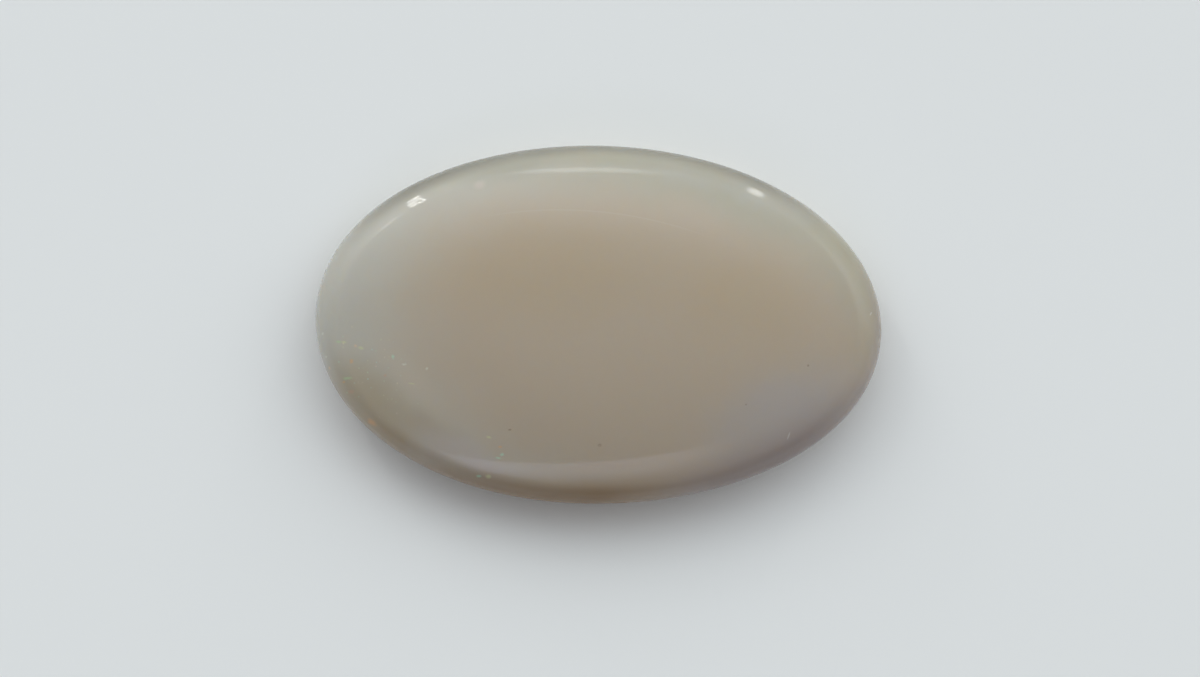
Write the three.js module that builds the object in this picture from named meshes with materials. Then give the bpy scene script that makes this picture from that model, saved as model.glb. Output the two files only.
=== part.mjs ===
// An oval opal cabochon: one polished stone with a low domed crown, a rolled rim and a flat back.
// Millimetres, +Z up. The origin is the middle of the flat back, and X runs along the oval.
import * as THREE from 'three';
import { ParametricGeometry } from 'three/addons/geometries/ParametricGeometry.js';

// Driving dimensions
const LENGTH = 30;            // the long way across the oval
const WIDTH = 19;             // the short way across
const HEIGHT = 5.3;           // from the flat back to the top of the crown
const CROWN_RISE = 1.4;       // how far the crown bulges above the ring where it meets the rim
const CROWN_POWER = 2.4;      // 2 is a plain bowl, and more is flatter on top and fuller at the rim
const RIM_RADIUS = 1.9;       // rounding that rolls the crown over into the girdle
const BACK_CURVE_INSET = 1.7; // half-width of the ellipse that draws the wall in below the girdle
const BACK_CURVE_DROP = 2.6;  // half-height of that ellipse, which the flat back cuts short

// The oval was cut by eye, so waves run round it: each has a number of lobes, and shares of the radius
const OUTLINE_WAVES = [
	{ lobes: 3, cosine: 0.005, sine: 0 },
	{ lobes: 4, cosine: - 0.001, sine: - 0.0035 },
];

// Fineness of the surface: facets round the oval, and rings from the top of the crown to the back
const SEGMENTS = 120;
const CROWN_RINGS = 12;
const RIM_RINGS = 10;
const WALL_RINGS = 5;
const BACK_RINGS = 1;
const RINGS = CROWN_RINGS + RIM_RINGS + WALL_RINGS + BACK_RINGS;

// Milky, faintly warm body colour with a bright polish
const OPAL_COLOUR = 0x9e9382;
const OPAL_ROUGHNESS = 0.08;

// The rim is a rounding swept along a smaller oval inside the girdle, at the girdle's height
const RIM_HALF_LENGTH = LENGTH / 2 - RIM_RADIUS;
const RIM_HALF_WIDTH = WIDTH / 2 - RIM_RADIUS;
const GIRDLE_HEIGHT = HEIGHT - CROWN_RISE - RIM_RADIUS;

// The part of a quarter ellipse that the wall follows, from the girdle down to the flat back
const WALL_TURN = Math.asin( GIRDLE_HEIGHT / BACK_CURVE_DROP );

// A point of the rim's oval, with the level direction that points straight out of it
function rimOval( angle ) {

	let swell = 1;
	let swellSlope = 0;

	for ( const { lobes, cosine, sine } of OUTLINE_WAVES ) {

		const turn = lobes * angle;
		swell += cosine * Math.cos( turn ) + sine * Math.sin( turn );
		swellSlope += lobes * ( sine * Math.cos( turn ) - cosine * Math.sin( turn ) );

	}

	const cos = Math.cos( angle );
	const sin = Math.sin( angle );
	const point = new THREE.Vector3( RIM_HALF_LENGTH * swell * cos, RIM_HALF_WIDTH * swell * sin, 0 );
	const outward = new THREE.Vector3(
		RIM_HALF_WIDTH * ( swell * cos + swellSlope * sin ),
		RIM_HALF_LENGTH * ( swell * sin - swellSlope * cos ),
		0,
	).normalize();

	return { point, outward };

}

// How steeply the crown falls at a share of the way from its middle to the rim's oval
function crownSlope( rim, share ) {

	return CROWN_RISE * CROWN_POWER * share ** ( CROWN_POWER - 1 ) / rim.point.dot( rim.outward );

}

// The crown: a shallow bowl turned over, lifted off its own surface by the rim's radius
function crownPoint( rim, share, target ) {

	const tilt = Math.atan( crownSlope( rim, share ) );

	target.copy( rim.point ).multiplyScalar( share );
	target.addScaledVector( rim.outward, RIM_RADIUS * Math.sin( tilt ) );
	target.z = GIRDLE_HEIGHT + CROWN_RISE * ( 1 - share ** CROWN_POWER ) + RIM_RADIUS * Math.cos( tilt );

}

// The rim: an arc that carries on from the crown's own slope and ends upright at the girdle
function rimPoint( rim, share, target ) {

	const tilt = THREE.MathUtils.lerp( Math.atan( crownSlope( rim, 1 ) ), Math.PI / 2, share );

	target.copy( rim.point ).addScaledVector( rim.outward, RIM_RADIUS * Math.sin( tilt ) );
	target.z = GIRDLE_HEIGHT + RIM_RADIUS * Math.cos( tilt );

}

// The wall: part of a quarter ellipse that draws in from the girdle to the edge of the back
function wallPoint( rim, share, target ) {

	const turn = share * WALL_TURN;
	const inset = BACK_CURVE_INSET * ( 1 - Math.cos( turn ) );

	target.copy( rim.point ).addScaledVector( rim.outward, RIM_RADIUS - inset );
	target.z = GIRDLE_HEIGHT - BACK_CURVE_DROP * Math.sin( turn );

}

// The back: a flat face from the wall's lower edge in to the middle
function backPoint( rim, share, target ) {

	wallPoint( rim, 1, target );
	target.multiplyScalar( 1 - share ).setZ( 0 );

}

// The stone's bands in order from the top, each with the rings that it is made of
const BANDS = [
	{ rings: CROWN_RINGS, place: crownPoint },
	{ rings: RIM_RINGS, place: rimPoint },
	{ rings: WALL_RINGS, place: wallPoint },
	{ rings: BACK_RINGS, place: backPoint },
];

// Any point of the surface: how far round the oval, and how far from the top of the crown to the back
function stonePoint( around, along, target ) {

	const rim = rimOval( around * 2 * Math.PI );
	let ring = along * RINGS;

	for ( const { rings, place } of BANDS ) {

		if ( ring <= rings ) return place( rim, ring / rings, target );
		ring -= rings;

	}

}

function makeStone() {

	const surface = ( u, v, target ) => stonePoint( 1 - u, v, target );
	const geometry = new ParametricGeometry( surface, SEGMENTS, RINGS );

	// The waves shift the oval a little, so it is centred over the origin again
	geometry.center().translate( 0, 0, HEIGHT / 2 );

	const polish = { color: OPAL_COLOUR, roughness: OPAL_ROUGHNESS, metalness: 0 };
	const stone = new THREE.Mesh( geometry, new THREE.MeshStandardMaterial( polish ) );
	stone.name = 'opal';

	return stone;

}

const cabochon = new THREE.Group();
cabochon.add( makeStone() );

export default cabochon;
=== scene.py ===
"""An oval opal cabochon, seen from straight above: one polished stone lying on a pale floor."""
import math

import bpy
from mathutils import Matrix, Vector, noise


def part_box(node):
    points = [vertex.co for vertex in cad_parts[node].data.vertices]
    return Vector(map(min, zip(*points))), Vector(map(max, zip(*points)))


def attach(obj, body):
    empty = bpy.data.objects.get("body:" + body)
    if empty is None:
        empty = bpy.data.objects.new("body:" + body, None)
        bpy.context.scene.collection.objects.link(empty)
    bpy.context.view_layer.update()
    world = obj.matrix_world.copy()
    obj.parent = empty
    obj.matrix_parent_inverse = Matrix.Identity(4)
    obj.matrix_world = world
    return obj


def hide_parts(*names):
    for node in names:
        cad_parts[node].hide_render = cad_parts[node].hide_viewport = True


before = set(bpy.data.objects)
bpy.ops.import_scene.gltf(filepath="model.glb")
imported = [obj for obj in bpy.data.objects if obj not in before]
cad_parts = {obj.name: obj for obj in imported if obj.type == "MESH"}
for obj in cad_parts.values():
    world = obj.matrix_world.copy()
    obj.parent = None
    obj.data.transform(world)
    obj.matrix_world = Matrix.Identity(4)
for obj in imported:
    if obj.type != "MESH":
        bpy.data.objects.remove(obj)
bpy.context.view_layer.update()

# The stone
# One piece of milky opal, sawn to an oval, ground by hand to a low dome on a flat back, and polished.
# Nothing is glued or clipped to it: it lies on its back, which was left as it came off the grinding lap.
MM = 0.001
STONE_LENGTH = 30 * MM
STONE_WIDTH = 19 * MM
STONE_HEIGHT = 5.3 * MM
CROWN_RISE = 1.4 * MM
CROWN_POWER = 2.4
RIM_RADIUS = 1.9 * MM
BACK_CURVE_INSET = 1.7 * MM
BACK_CURVE_DROP = 2.6 * MM
BACK_EDGE_BEVEL = 0.18 * MM
BACK_EDGE_STEPS = 3
BACK_EDGE_ANGLE = math.radians(25)

# Waves in the hand-cut outline: the lobes of each, and its cosine and sine as shares of the radius
OUTLINE_WAVES = ((3, 0.005, 0.0), (4, -0.001, -0.0035))

# The polishing pad leaves the surface a few thousandths of a millimetre up and down
POLISH_WAVE_LENGTH = 4.5 * MM
POLISH_WAVE_DEPTH = 0.006 * MM

# Fineness of the mesh: rings from the middle to the rim's oval, round the rim, and down the wall
DISC_RINGS = 44
RIM_RINGS = 26
WALL_RINGS = 8

RIM_HALF_LENGTH = STONE_LENGTH / 2 - RIM_RADIUS
RIM_HALF_WIDTH = STONE_WIDTH / 2 - RIM_RADIUS
GIRDLE_HEIGHT = STONE_HEIGHT - CROWN_RISE - RIM_RADIUS
WALL_TURN = math.asin(GIRDLE_HEIGHT / BACK_CURVE_DROP)
HALF_LENGTH_MM = STONE_LENGTH / 2 / MM
HALF_WIDTH_MM = STONE_WIDTH / 2 / MM
UP = Vector((0, 0, 1))


def rim_oval(angle):
    """A point of the oval that the rim's rounding is swept along, and the level direction out of it."""
    swell, swell_slope = 1.0, 0.0
    for lobes, cosine, sine in OUTLINE_WAVES:
        turn = lobes * angle
        swell += cosine * math.cos(turn) + sine * math.sin(turn)
        swell_slope += lobes * (sine * math.cos(turn) - cosine * math.sin(turn))
    cos, sin = math.cos(angle), math.sin(angle)
    point = Vector((RIM_HALF_LENGTH * swell * cos, RIM_HALF_WIDTH * swell * sin, 0))
    across = RIM_HALF_WIDTH * (swell * cos + swell_slope * sin)
    along = RIM_HALF_LENGTH * (swell * sin - swell_slope * cos)
    return point, Vector((across, along, 0)).normalized()


def crown_tilt(angle, share):
    """How far the crown leans over at a share of the way from its middle to the rim's oval."""
    point, outward = rim_oval(angle)
    slope = CROWN_RISE * CROWN_POWER * share ** (CROWN_POWER - 1) / point.dot(outward)
    return math.atan(slope)


def crown_point(angle, share):
    """The crown: a shallow bowl turned over, lifted off its own surface by the rim's radius."""
    point, outward = rim_oval(angle)
    tilt = crown_tilt(angle, share)
    height = GIRDLE_HEIGHT + CROWN_RISE * (1 - share ** CROWN_POWER)
    lift = outward * math.sin(tilt) + UP * math.cos(tilt)
    return point * share + UP * height + lift * RIM_RADIUS


def rim_point(angle, share):
    """The rim: an arc that carries on from the crown's own slope and ends upright at the girdle."""
    point, outward = rim_oval(angle)
    start = crown_tilt(angle, 1)
    tilt = start + (math.pi / 2 - start) * share
    lift = outward * math.sin(tilt) + UP * math.cos(tilt)
    return point + UP * GIRDLE_HEIGHT + lift * RIM_RADIUS


def wall_point(angle, share):
    """The wall: part of a quarter ellipse that draws in from the girdle to the edge of the back."""
    point, outward = rim_oval(angle)
    turn = share * WALL_TURN
    inset = BACK_CURVE_INSET * (1 - math.cos(turn))
    height = GIRDLE_HEIGHT - BACK_CURVE_DROP * math.sin(turn)
    return point + outward * (RIM_RADIUS - inset) + UP * height


def back_point(angle, share):
    """The back: flat, from its middle out to the lower edge of the wall."""
    edge = wall_point(angle, 1)
    return Vector((edge.x * share, edge.y * share, 0))


def seat(column, row):
    """The ring that a place on a square grid is on once the square is pressed round, and its step along."""
    ring = max(abs(column), abs(row))
    if column == ring:
        step = row
    elif row == ring:
        step = 2 * ring - column
    elif column == -ring:
        step = 4 * ring - row
    else:
        step = 6 * ring + column
    return ring, step % ring_count(ring)


def ring_count(ring):
    """How many points are on a ring of the pressed square."""
    return max(1, 8 * ring)


def stone_mesh():
    """The whole surface in four-sided faces, with no point where many edges meet, as numbered points."""
    points = []

    def lay_ring(place, share, count):
        points.extend(place(math.tau * step / count, share) for step in range(count))
        return range(len(points) - count, len(points))

    def lay_disc(place, rings):
        return [lay_ring(place, ring / DISC_RINGS, ring_count(ring)) for ring in range(rings)]

    def lay_band(first, place, rings):
        count = ring_count(DISC_RINGS)
        return [first] + [lay_ring(place, (ring + 1) / rings, count) for ring in range(rings)]

    def disc_faces(rings):
        span = range(-DISC_RINGS, DISC_RINGS)
        cells = [(column, row) for column in span for row in span]
        for column, row in cells:
            corners = [seat(column + a, row + b) for a, b in ((0, 0), (1, 0), (1, 1), (0, 1))]
            yield [rings[ring][step] for ring, step in corners]

    def band_faces(rings):
        for upper, lower in zip(rings, rings[1:]):
            for step in range(len(upper)):
                yield [upper[step - 1], lower[step - 1], lower[step], upper[step]]

    crown = lay_disc(crown_point, DISC_RINGS + 1)
    rim = lay_band(crown[-1], rim_point, RIM_RINGS)
    wall = lay_band(rim[-1], wall_point, WALL_RINGS)
    back = lay_disc(back_point, DISC_RINGS) + [wall[-1]]
    faces = [*disc_faces(crown), *band_faces(rim), *band_faces(wall)]
    faces += [face[::-1] for face in disc_faces(back)]

    mesh = bpy.data.meshes.new("polished_opal")
    mesh.from_pydata(points, [], faces)
    mesh.shade_smooth()
    return mesh


def polish_by_hand(mesh):
    """Waves the polished faces very slightly, as a hand-held stone comes off a soft pad."""
    lifts = [
        vertex.normal * noise.noise(vertex.co / POLISH_WAVE_LENGTH) * POLISH_WAVE_DEPTH
        for vertex in mesh.vertices
    ]
    for vertex, lift in zip(mesh.vertices, lifts):
        if vertex.co.z > 0:
            vertex.co += lift


def fit_box(mesh, low, high):
    """Shifts and stretches the mesh by hairs, so that it fills the solid's own box."""
    corners = [[pick(v.co[axis] for v in mesh.vertices) for axis in range(3)] for pick in (min, max)]
    mesh_low, mesh_high = map(Vector, corners)
    for vertex in mesh.vertices:
        for axis in range(3):
            share = (vertex.co[axis] - mesh_low[axis]) / (mesh_high[axis] - mesh_low[axis])
            vertex.co[axis] = low[axis] + share * (high[axis] - low[axis])


class Shade:
    """A shader socket that Python arithmetic works on: an expression adds the Math nodes that it needs."""

    def __init__(self, tree, socket=None):
        self.tree = tree
        self.socket = socket

    def node(self, kind, settings=None, sockets=None, output=0):
        """Any node: its type, its settings, the values or links of its sockets, and the output to use."""
        made = self.tree.nodes.new(kind)
        for name, value in (settings or {}).items():
            setattr(made, name, value)
        for name, value in (sockets or {}).items():
            if isinstance(value, Shade):
                self.tree.links.new(value.socket, made.inputs[name])
            else:
                made.inputs[name].default_value = value
        return Shade(self.tree, made.outputs[output])

    def other(self, output):
        """Another output of the same node."""
        return Shade(self.tree, self.socket.node.outputs[output])

    def feed(self, kind, name):
        """Links this to a socket of the tree's own shader node of a kind."""
        shader = next(node for node in self.tree.nodes if node.type == kind)
        self.tree.links.new(self.socket, shader.inputs[name])

    def maths(self, operation, *values):
        """A Math node on numbers or sockets."""
        return self.node("ShaderNodeMath", {"operation": operation}, dict(enumerate(values)))

    def vector(self, operation, *values, output="Vector"):
        """A Vector Math node on vectors or sockets."""
        return self.node("ShaderNodeVectorMath", {"operation": operation}, dict(enumerate(values)), output)

    def __add__(self, other):
        return self.maths("ADD", self, other)

    def __radd__(self, other):
        return self.maths("ADD", other, self)

    def __sub__(self, other):
        return self.maths("SUBTRACT", self, other)

    def __rsub__(self, other):
        return self.maths("SUBTRACT", other, self)

    def __mul__(self, other):
        return self.maths("MULTIPLY", self, other)

    def __rmul__(self, other):
        return self.maths("MULTIPLY", other, self)

    def __abs__(self):
        return self.maths("ABSOLUTE", self)

    def ease(self, start, end):
        """0 before start and 1 after end, with a smooth step between them."""
        limits = {"Value": self, "From Min": start, "From Max": end}
        return self.node("ShaderNodeMapRange", {"interpolation_type": "SMOOTHSTEP"}, limits)


def blend(share, ground, colour):
    """A ground colour with a share of another colour mixed into it."""
    return share.node("ShaderNodeMix", {"data_type": "RGBA"}, {0: share, 6: ground, 7: colour}, 2)


def wander(where, scale, detail, amount):
    """Places pushed about by noise, so that what is drawn at them gets uneven edges."""
    sockets = {"Vector": where, "Scale": scale, "Detail": detail}
    noise_colour = where.node("ShaderNodeTexNoise", None, sockets, "Color")
    push = where.vector("SUBTRACT", noise_colour, (0.5, 0.5, 0.5))
    return where.vector("MULTIPLY_ADD", push, (amount, amount, 0), where)


def oval_reach(where, x, y, half_length, half_width, turn=0):
    """How far each place is from the middle of an oval, as a share of the way to its edge."""
    sockets = {
        "Vector": where,
        "Location": (x, y, 0),
        "Rotation": (0, 0, math.radians(turn)),
        "Scale": (half_length, half_width, 1),
    }
    turned = where.node("ShaderNodeMapping", {"vector_type": "TEXTURE"}, sockets)
    return turned.vector("LENGTH", turned, output="Value")


# Body colours: warm tan in the middle and milk towards the rim, with painted haze and painted rim shade
TAN = (0.438, 0.366, 0.286, 1)
WARM_TAN = (0.430, 0.345, 0.240, 1)
LEFT_MILK = (0.466, 0.450, 0.402, 1)
BACK_MILK = (0.355, 0.333, 0.258, 1)
LAVENDER = (0.412, 0.370, 0.340, 1)
OLIVE = (0.388, 0.332, 0.244, 1)
SMOKE = (0.392, 0.340, 0.268, 1)
UMBER = (0.350, 0.265, 0.165, 1)
PALE_VEIL = (0.475, 0.420, 0.345, 1)
BLUE_VEIL = (0.450, 0.403, 0.370, 1)
# Painted reflection and painted shade: a pale haze of reflected light along the back rim, and a darker patch
REFLECTED_HAZE = (0.405, 0.382, 0.345, 1)
HAZE_SHADE = (0.300, 0.284, 0.226, 1)
# Painted shade: darker tints for the rim bands, not the body's own colour
BROWN_RIM_SHADE = (0.268, 0.174, 0.090, 1)
PLUM_RIM_SHADE = (0.288, 0.235, 0.220, 1)
GREY_RIM_SHADE = (0.200, 0.185, 0.150, 1)

# Noise bends all of it about by a millimetre or so, in bends some millimetres long
DRIFT_PER_MM = 0.25
DRIFT_DETAIL = 3.0
DRIFT_MM = 2.2

# Milk sets in over a span of reach, which is 1 at the rim, and sooner with each millimetre to one side
BACK_MILK_SPAN = (0.92, 1.42)
BACK_MILK_TO_BACK = 0.05
BACK_MILK_TO_RIGHT = 0.012
LEFT_MILK_SPAN = (0.6, 1.5)
LEFT_MILK_TO_LEFT = 0.03

# Clouds in the body, and at the end painted light: middle and half sizes in millimetres, turn in degrees,
# strength and colour
PATCH_SPAN = (1.15, 0.15)
CLOUDS_AND_HAZE = (
    (7.6, 1.8, 5.0, 3.4, 0, 0.55, WARM_TAN),
    (-3.0, 3.0, 9.0, 3.6, 0, 0.55, WARM_TAN),
    (10.2, -4.7, 6.4, 3.3, 24, 0.95, LAVENDER),
    (-11.9, -4.4, 3.4, 2.4, -42, 0.9, OLIVE),
    (-9.1, -5.8, 3.4, 1.3, -31, 0.9, SMOKE),
    (-10.7, -6.2, 2.4, 0.8, -34, 0.55, UMBER),
    (-9.8, -2.8, 2.8, 1.0, -52, 0.7, PALE_VEIL),
    (-7.1, -7.05, 3.3, 1.1, -24, 0.75, BLUE_VEIL),
    # Painted light, not clouds: two patches of pale reflected haze on the back rim, and one of painted shade
    (8.9, 7.0, 5.0, 1.1, -29, 0.6, REFLECTED_HAZE),
    (4.2, 8.2, 3.0, 0.9, -13, 0.45, REFLECTED_HAZE),
    (-5.2, 8.4, 4.5, 1.2, 14, 0.35, HAZE_SHADE),
)

# Bands of painted shade along the rim, which set in over spans of reach, and of millimetres to the right and
# to the back
GREY_REACH = (0.92, 1.0)
GREY_BACK = (1.5, 7.0)
GREY_LEFT_END = (-15.5, -9.5)
GREY_RIGHT_END = (13.0, 8.0)
GREY_STRENGTH = 0.9
SIDE_REACH = (0.94, 1.0)
SIDE_RIGHT = (8.0, 13.0)
SIDE_BACK_END = (4.5, 1.0)
SIDE_STRENGTH = 0.5
FRONT_SPAN = (-3.5, -7.5)
FRONT_SLANT = 0.12
PLUM_REACH = (0.75, 1.03)
PLUM_LEFT_END = (0.0, 7.0)
BROWN_REACH = (0.80, 0.98)
BROWN_RIGHT_END = (6.0, 0.0)
BROWN_NARROWING = 0.009

# The wall sets in over a span of heights in millimetres
WALL_SPAN = (GIRDLE_HEIGHT / MM, 0.4 * GIRDLE_HEIGHT / MM)
WALL_STRENGTH = 0.75


def body_and_painted_light_colour(flat, height):
    """The stone's colour with painted haze and painted rim shade, by the place seen from above and the
    height over the back.
    """
    drifted = wander(flat, DRIFT_PER_MM, DRIFT_DETAIL, DRIFT_MM)
    x = flat.node("ShaderNodeSeparateXYZ", None, {0: drifted}, "X")
    y = x.other("Y")
    reach = oval_reach(drifted, 0, 0, HALF_LENGTH_MM, HALF_WIDTH_MM)
    back_milk = (reach + BACK_MILK_TO_BACK * y + BACK_MILK_TO_RIGHT * x).ease(*BACK_MILK_SPAN)
    left_milk = (reach - LEFT_MILK_TO_LEFT * x).ease(*LEFT_MILK_SPAN)
    colour = blend(back_milk, TAN, BACK_MILK)
    colour = blend(left_milk, colour, LEFT_MILK)
    for patch_x, patch_y, half_length, half_width, turn, strength, tint in CLOUDS_AND_HAZE:
        patch = oval_reach(drifted, patch_x, patch_y, half_length, half_width, turn).ease(*PATCH_SPAN)
        colour = blend(patch * strength, colour, tint)

    # Painted shade along the rim, darker than the body: grey at the back, plum at the right, and brown along
    # the shadowed front
    edge = oval_reach(flat, 0, 0, HALF_LENGTH_MM, HALF_WIDTH_MM)
    grey_shade = edge.ease(*GREY_REACH) * y.ease(*GREY_BACK) * x.ease(*GREY_LEFT_END) * x.ease(*GREY_RIGHT_END)
    colour = blend(grey_shade * GREY_STRENGTH, colour, GREY_RIM_SHADE)
    side_plum_shade = edge.ease(*SIDE_REACH) * x.ease(*SIDE_RIGHT) * y.ease(*SIDE_BACK_END)
    colour = blend(side_plum_shade * SIDE_STRENGTH, colour, PLUM_RIM_SHADE)
    near_front = (y - FRONT_SLANT * x).ease(*FRONT_SPAN)
    plum_shade = edge.ease(*PLUM_REACH) * near_front * x.ease(*PLUM_LEFT_END)
    colour = blend(plum_shade, colour, PLUM_RIM_SHADE)
    narrowed = edge + BROWN_NARROWING * x.maths("MINIMUM", x, 0.0)
    brown_shade = narrowed.ease(*BROWN_REACH) * near_front * x.ease(*BROWN_RIGHT_END)
    colour = blend(brown_shade, colour, BROWN_RIM_SHADE)

    # Below the girdle the wall is mostly the body's plain colour, without the painted rim shade
    return blend(height.ease(*WALL_SPAN) * WALL_STRENGTH, colour, TAN)


# The play of colour: fine flecks, nearly all in the front left corner, each throwing back one colour, and
# one painted pink reflection
GREEN = (0.42, 0.60, 0.34, 1)
LIME = (0.56, 0.60, 0.34, 1)
TEAL = (0.40, 0.68, 0.52, 1)
AMBER = (0.66, 0.38, 0.18, 1)
PEACH = (0.66, 0.48, 0.32, 1)
ROSE = (0.52, 0.34, 0.25, 1)
PEARL = (0.62, 0.66, 0.57, 1)
# Painted reflection: the colour of a soft pink smudge of reflected light
PINK_REFLECTION = (0.53, 0.46, 0.41, 1)
SPOT_STRENGTH = 0.55
SPOT_SPAN = (1.3, 0.2)

# Fine noise makes their edges ragged
RAGGED_PER_MM = 6.0
RAGGED_DETAIL = 2.0
RAGGED_MM = 0.12

# Flecks, and one painted reflection: middle and half sizes in millimetres, turn in degrees, and colour
FLECKS_AND_REFLECTION = (
    (-14.5, -0.8, 0.08, 0.08, 0, PEARL),
    (-13.6, -1.2, 0.17, 0.08, -10, GREEN),
    (-13.3, -1.2, 0.17, 0.07, -5, LIME),
    (-12.7, -1.4, 0.11, 0.09, -40, PEACH),
    (-12.4, -1.5, 0.19, 0.09, -15, LIME),
    (-14.3, -2.0, 0.07, 0.07, 0, PEARL),
    (-14.1, -2.6, 0.08, 0.09, 0, PEACH),
    (-12.9, -2.2, 0.11, 0.14, 0, AMBER),
    (-13.1, -3.1, 0.28, 0.08, 8, GREEN),
    (-13.3, -3.3, 0.11, 0.07, 20, AMBER),
    (-12.9, -3.8, 0.20, 0.12, 0, ROSE),
    (-10.7, -1.9, 0.09, 0.10, 0, TEAL),
    (-10.1, -2.3, 0.14, 0.06, 0, PEARL),
    (-11.1, -2.9, 0.09, 0.09, 0, ROSE),
    (-8.9, -2.5, 0.08, 0.09, 0, PEARL),
    (-9.7, -3.3, 0.20, 0.05, -10, LIME),
    (-11.8, -5.4, 0.32, 0.17, -35, AMBER),
    (-4.9, -6.9, 0.12, 0.09, 10, TEAL),
    (-5.1, -7.1, 0.17, 0.07, -5, TEAL),
    (-5.0, -6.5, 0.12, 0.07, 0, AMBER),
    (-5.6, -6.0, 0.15, 0.07, -10, LIME),
    (-5.6, -8.1, 0.17, 0.12, 0, LIME),
    (-6.1, -8.1, 0.15, 0.08, 0, TEAL),
    # Painted reflection, not a fleck: a soft pink smudge of reflected light near the back
    (-6.4, 7.2, 0.36, 0.26, 15, PINK_REFLECTION),
)

# The finest flecks are a dust in an oval at that corner, so many to a millimetre, from orange to cyan
DUST_CORNER = (-12.3, -2.6, 4.2, 2.6, -40)
DUST_CORNER_SPAN = (1.2, 0.2)
DUST_PER_MM = 4.5
DUST_GRAIN_SPAN = (0.3, 0.1)
DUST_PICK_SPAN = (0.55, 0.95)
DUST_STRENGTH = 0.42
DUST_FIRST_HUE = 0.05
DUST_HUE_SPAN = 0.42
DUST_SATURATION = 0.4
DUST_VALUE = 0.7


def fleck_and_reflection_colour(flat, colour):
    """A colour with the play of colour over it, and a painted pink reflection."""
    grain = flat.node("ShaderNodeTexVoronoi", None, {"Vector": flat, "Scale": DUST_PER_MM}, "Distance")
    pick = flat.node("ShaderNodeSeparateXYZ", None, {0: grain.other("Color")}, "X")
    corner = oval_reach(flat, *DUST_CORNER).ease(*DUST_CORNER_SPAN)
    dust = grain.ease(*DUST_GRAIN_SPAN) * pick.ease(*DUST_PICK_SPAN) * corner
    hue = DUST_FIRST_HUE + DUST_HUE_SPAN * pick.other("Y")
    sockets = {0: hue, 1: DUST_SATURATION, 2: DUST_VALUE}
    dust_colour = flat.node("ShaderNodeCombineColor", {"mode": "HSV"}, sockets)
    colour = blend(dust * DUST_STRENGTH, colour, dust_colour)
    ragged = wander(flat, RAGGED_PER_MM, RAGGED_DETAIL, RAGGED_MM)
    for x, y, half_length, half_width, turn, tint in FLECKS_AND_REFLECTION:
        spot = oval_reach(ragged, x, y, half_length, half_width, turn).ease(*SPOT_SPAN)
        colour = blend(spot * SPOT_STRENGTH, colour, tint)
    return colour


# Wear on the polish, in millimetres and degrees: pits and two scratches; and a faint pale arc along the back
# of the crown
WEAR_SPAN = (1.0, 0.4)
PIT_BROWN = (0.16, 0.11, 0.07, 1)
PIT_STRENGTH = 0.3
PIT_DEPTH = 0.02 * MM
PITS = (
    (-4.5, -5.6, 0.10, 0.07),
    (0.2, -6.3, 0.13, 0.11),
    (11.0, -1.9, 0.08, 0.08),
    (7.8, -4.0, 0.06, 0.06),
)
SCRATCH_AND_ARC_WHITE = (0.72, 0.72, 0.70, 1)
SCRATCH_STRENGTH = 0.3
SCRATCHES = (
    (10.1, -5.6, 0.28, 0.05, 72),
    (14.3, 0.9, 0.14, 0.05, 60),
)
PALE_ARC_MIDDLE = (-1.7, -16.35)
PALE_ARC_RADIUS = 22.3
PALE_ARC_LINE = 0.065
PALE_ARC_STRENGTH = 0.05
PALE_ARC_SHOWS = (-0.2, 5.6, 7.0, 3.0)
PALE_ARC_SHOWS_SPAN = (1.0, 0.5)


def worn_colour(flat, pits, colour):
    """A colour with the pits, the scratches and the faint pale arc over it."""
    for x, y, half_length, half_width, turn in SCRATCHES:
        scratch = oval_reach(flat, x, y, half_length, half_width, turn).ease(*WEAR_SPAN)
        colour = blend(scratch * SCRATCH_STRENGTH, colour, SCRATCH_AND_ARC_WHITE)
    off_arc = abs(oval_reach(flat, *PALE_ARC_MIDDLE, 1, 1) - PALE_ARC_RADIUS)
    shows = oval_reach(flat, *PALE_ARC_SHOWS).ease(*PALE_ARC_SHOWS_SPAN)
    colour = blend(off_arc.ease(PALE_ARC_LINE, 0.0) * shows * PALE_ARC_STRENGTH, colour, SCRATCH_AND_ARC_WHITE)
    return blend(pits * PIT_STRENGTH, colour, PIT_BROWN)


# Heights in millimetres over which the polished top and the back set in
TOP_SPAN = (0.5 * GIRDLE_HEIGHT / MM, GIRDLE_HEIGHT / MM)
BACK_SPAN = (0.25, 0.05)

# The polish is a little uneven, and the back is left satin, with the fine lines of the grinding lap
POLISH_ROUGHNESS = 0.03
POLISH_UNEVENNESS = 0.035
SMEARS_PER_MM = 0.8
SMEAR_DETAIL = 4.0
BACK_ROUGHNESS = 0.4
LAP_GRAIN_PER_MM = (1.2, 26.0, 0)
LAP_DETAIL = 3.0
LAP_DEPTH = 0.01 * MM

# How far light wanders under the surface, for red, green and blue
SCATTER_RADIUS = (1.0, 0.75, 0.5)
SCATTER_SCALE = 1.0 * MM
OPAL_IOR = 1.45


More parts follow.
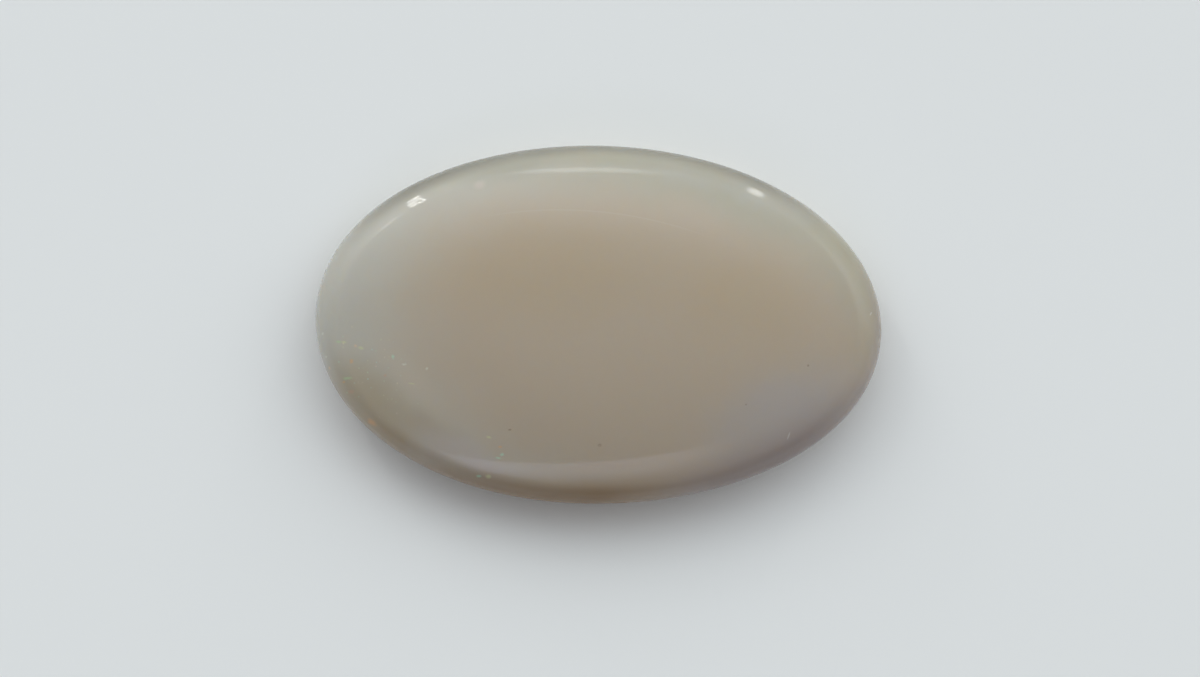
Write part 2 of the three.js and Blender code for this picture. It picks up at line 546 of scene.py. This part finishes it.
def opal_material():
    """Milky opal: a cloudy body that light soaks into, flecks of colour at one side, and a bright polish."""
    material = bpy.data.materials.new("milky_opal")
    material.use_nodes = True
    solid = Shade(material.node_tree).node("ShaderNodeTexCoord", output="Object")
    flat = solid.vector("MULTIPLY", solid, (1 / MM, 1 / MM, 0))
    height = solid.node("ShaderNodeSeparateXYZ", None, {0: solid}, "Z") * (1 / MM)
    on_top = height.ease(*TOP_SPAN)
    on_back = height.ease(*BACK_SPAN)

    first, *rest = [oval_reach(flat, *pit).ease(*WEAR_SPAN) for pit in PITS]
    pits = on_top * sum(rest, first)
    plain = body_and_painted_light_colour(flat, height)
    marked = worn_colour(flat, pits, fleck_and_reflection_colour(flat, plain))
    blend(on_top, plain, marked).feed("BSDF_PRINCIPLED", "Base Color")

    sockets = {"Vector": flat, "Scale": SMEARS_PER_MM, "Detail": SMEAR_DETAIL}
    smears = solid.node("ShaderNodeTexNoise", None, sockets)
    roughness = POLISH_ROUGHNESS + POLISH_UNEVENNESS * smears + BACK_ROUGHNESS * on_back
    roughness.feed("BSDF_PRINCIPLED", "Roughness")

    drawn_out = solid.vector("MULTIPLY", flat, LAP_GRAIN_PER_MM)
    sockets = {"Vector": drawn_out, "Scale": 1.0, "Detail": LAP_DETAIL}
    lap_lines = solid.node("ShaderNodeTexNoise", None, sockets)
    relief = lap_lines * on_back * LAP_DEPTH - pits * PIT_DEPTH
    bump = solid.node("ShaderNodeBump", None, {"Distance": 1.0, "Height": relief})
    bump.feed("BSDF_PRINCIPLED", "Normal")

    shader = material.node_tree.nodes["Principled BSDF"]
    shader.inputs["IOR"].default_value = OPAL_IOR
    shader.inputs["Subsurface Weight"].default_value = 1.0
    shader.inputs["Subsurface Radius"].default_value = SCATTER_RADIUS
    shader.inputs["Subsurface Scale"].default_value = SCATTER_SCALE
    return material


mesh = stone_mesh()
polish_by_hand(mesh)
fit_box(mesh, *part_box("opal"))
mesh.materials.append(opal_material())

stone = bpy.data.objects.new("polished_opal", mesh)
bpy.context.scene.collection.objects.link(stone)
bevel = stone.modifiers.new("back_edge", "BEVEL")
bevel.width = BACK_EDGE_BEVEL
bevel.segments = BACK_EDGE_STEPS
bevel.angle_limit = BACK_EDGE_ANGLE

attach(stone, "root")
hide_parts("opal")

# The floor
# A plain pale sheet under the stone, matt, with nothing printed on it. It only carries the shadow.
FLOOR_HALF_WIDTH = 1.5
FLOOR_GAP = 0.01 * MM
FLOOR_GREY = (0.78, 0.78, 0.775, 1)
FLOOR_ROUGHNESS = 0.9


def floor_material():
    """Matt and pale, the same all over."""
    material = bpy.data.materials.new("pale_floor")
    material.use_nodes = True
    shader = material.node_tree.nodes["Principled BSDF"]
    shader.inputs["Base Color"].default_value = FLOOR_GREY
    shader.inputs["Roughness"].default_value = FLOOR_ROUGHNESS
    shader.inputs["Specular IOR Level"].default_value = 0.0
    return material


signs = ((-1, -1), (1, -1), (1, 1), (-1, 1))
corners = [(x * FLOOR_HALF_WIDTH, y * FLOOR_HALF_WIDTH, -FLOOR_GAP) for x, y in signs]
floor_mesh = bpy.data.meshes.new("floor")
floor_mesh.from_pydata(corners, [], [(0, 1, 2, 3)])
floor_mesh.materials.append(floor_material())
floor = bpy.data.objects.new("floor", floor_mesh)
bpy.context.scene.collection.objects.link(floor)

# The lights
# Soft studio light: a broad glow behind the stone, brightest half way up, which makes the haze along its
# rim, with weaker glows beside it and a dim panel in front. Four lamps at the back make the crisp glints.
LAMP_DISTANCE = 0.5
LAMP_WHITE = (1.0, 1.0, 0.98)
STRIP_WHITE = (0.95, 1.0, 1.0)
BULB_BOOST = 2.8
BULB_SPAN = (0.48, 0.15)

# Lamps: azimuth from the back and elevation in degrees, size in metres, radiance, colour, and bulbs each way
LAMPS = (
    ("back_strip", -2, 40.6, (0.22, 0.032), 1.1, STRIP_WHITE, (1, 1)),
    ("left_glint", -32, 27, (0.03, 0.28), 7.5, LAMP_WHITE, (4, 3)),
    ("left_streak", -41.5, 42.5, (0.1, 0.08), 0.9, STRIP_WHITE, (1, 1)),
    ("right_glint", 25.2, 15, (0.045, 0.34), 2.6, LAMP_WHITE, (1, 1)),
)


def panel_lamp(name, azimuth, elevation, size, radiance, colour, bulbs):
    """A flat lamp facing the stone, with rows of soft bulbs. Azimuth 0 is behind, and 90 is right."""
    width, height = size
    lamp = bpy.data.lights.new(name, "AREA")
    lamp.shape = "RECTANGLE"
    lamp.size = width
    lamp.size_y = height
    lamp.energy = radiance * math.pi * width * height
    lamp.color = colour
    lamp.use_nodes = True
    place = Shade(lamp.node_tree).node("ShaderNodeNewGeometry", output="Parametric")
    cell = place.vector("FRACTION", place.vector("MULTIPLY", place, (*bulbs, 0)))
    off_bulb = place.vector("DISTANCE", cell, (0.5, 0.5, 0), output="Value")
    glow = off_bulb.ease(*BULB_SPAN) * BULB_BOOST
    glow.feed("EMISSION", "Strength")

    turn, lift = math.radians(azimuth), math.radians(elevation)
    level = Vector((math.sin(turn), math.cos(turn), 0))
    direction = level * math.cos(lift) + UP * math.sin(lift)
    holder = bpy.data.objects.new(name, lamp)
    holder.location = direction * LAMP_DISTANCE
    holder.rotation_mode = "QUATERNION"
    holder.rotation_quaternion = direction.to_track_quat("Z", "Y")
    holder.visible_camera = False
    bpy.context.scene.collection.objects.link(holder)


# Glow behind the stone, by the sine of the height above the floor
GLOW_BY_HEIGHT = ((0.0, 0.1), (0.3, 0.3), (0.55, 0.8), (0.7, 1.0), (0.8, 0.8), (0.92, 0.25), (0.99, 0.02))
BACK_LIGHT = 2.45
SIDE_LIGHT = 0.45
FRONT_LIGHT = 1.12
ROOM_GREY = (0.3, 0.3, 0.3, 1)
GLOW_COLOUR = (1.2, 1.28, 1.31, 1)
PANEL_COLOUR = (0.86, 0.84, 1.12, 1)

# Directions are shares to the right, to the back and upwards, and a glow sets in over spans of them
BEHIND_SPAN = (-0.1, 0.65)
BEHIND_TO_RIGHT = 0.15
BESIDE_RIGHT = (0.25, 0.7)
BESIDE_UP = (0.75, 0.3)
BESIDE_BACK = (-0.25, 0.3)

# The front panel's crisp top edge climbs to the right. It fades below that, more slowly at its brighter left
PANEL_TOP = 0.752
PANEL_CLIMB = 0.155
PANEL_TOP_SPAN = (0.0, 0.012)
PANEL_FADE_SPAN = (0.13, 0.02)
PANEL_RIGHT_END = (0.3, 0.12)
PANEL_LEFT_END = (-0.38, -0.2)
PANEL_FRONT = (0.0, -0.2)
PANEL_LEFT = (-0.05, -0.3)
PANEL_LEFT_STRETCH = 0.7
PANEL_LEFT_BOOST = 0.33


def studio_world():
    """The light that comes from each direction."""
    world = bpy.data.worlds.new("studio")
    world.use_nodes = True
    direction = Shade(world.node_tree).node("ShaderNodeTexCoord", output="Generated")
    right = direction.node("ShaderNodeSeparateXYZ", None, {0: direction}, "X")
    back, up = right.other("Y"), right.other("Z")

    # A new curve has two end points already, which are moved, and the rest are added
    by_height = direction.node("ShaderNodeFloatCurve", None, {"Value": up})
    curve = by_height.socket.node.mapping.curves[0]
    for place, (height, share) in enumerate(GLOW_BY_HEIGHT):
        if place < len(curve.points):
            curve.points[place].location = (height, share)
        else:
            curve.points.new(height, share)
    by_height.socket.node.mapping.update()

    behind = (back + BEHIND_TO_RIGHT * right).ease(*BEHIND_SPAN) * by_height
    beside = abs(right).ease(*BESIDE_RIGHT) * up.ease(*BESIDE_UP) * back.ease(*BESIDE_BACK)
    glow = behind * BACK_LIGHT + beside * SIDE_LIGHT

    below_edge = PANEL_TOP + PANEL_CLIMB * right - up
    at_left = right.ease(*PANEL_LEFT)
    fade = (below_edge * (1 - PANEL_LEFT_STRETCH * at_left)).ease(*PANEL_FADE_SPAN)
    ends = right.ease(*PANEL_RIGHT_END) * right.ease(*PANEL_LEFT_END) * back.ease(*PANEL_FRONT)
    brightness = (1 + PANEL_LEFT_BOOST * at_left) * FRONT_LIGHT
    front = below_edge.ease(*PANEL_TOP_SPAN) * fade * ends * brightness

    settings = {"data_type": "RGBA", "clamp_factor": False}
    lit = direction.node("ShaderNodeMix", settings, {0: glow, 6: ROOM_GREY, 7: GLOW_COLOUR}, 2)
    settings["blend_type"] = "ADD"
    lit = direction.node("ShaderNodeMix", settings, {0: front, 6: lit, 7: PANEL_COLOUR}, 2)
    lit.feed("BACKGROUND", "Color")
    return world


for lamp_values in LAMPS:
    panel_lamp(*lamp_values)
bpy.context.scene.world = studio_world()
bpy.context.scene.view_settings.view_transform = "Standard"

# The camera
# It looks straight down on the stone from well above, turned by a degree or so, as the photograph was taken.
PHOTO_WIDTH = 1200
PHOTO_HEIGHT = 677
STONE_MIDDLE = (598.45, 324.85)
PIXELS_PER_METRE = 18880
CAMERA_ROLL = math.radians(1.28)
LENS_MM = 100
SENSOR_MM = 36
NEAR_CLIP = 0.01

camera = bpy.data.cameras.new("camera")
camera.lens = LENS_MM
camera.sensor_width = SENSOR_MM
camera.clip_start = NEAR_CLIP
distance = PHOTO_WIDTH / PIXELS_PER_METRE * LENS_MM / SENSOR_MM
right_of_stone = (PHOTO_WIDTH / 2 - STONE_MIDDLE[0]) / PIXELS_PER_METRE
above_stone = (STONE_MIDDLE[1] - PHOTO_HEIGHT / 2) / PIXELS_PER_METRE
cos, sin = math.cos(CAMERA_ROLL), math.sin(CAMERA_ROLL)
camera_holder = bpy.data.objects.new("camera", camera)
camera_holder.location = (
    right_of_stone * cos - above_stone * sin,
    right_of_stone * sin + above_stone * cos,
    GIRDLE_HEIGHT + distance,
)
camera_holder.rotation_euler = (0, 0, CAMERA_ROLL)
bpy.context.scene.collection.objects.link(camera_holder)
bpy.context.scene.camera = camera_holder
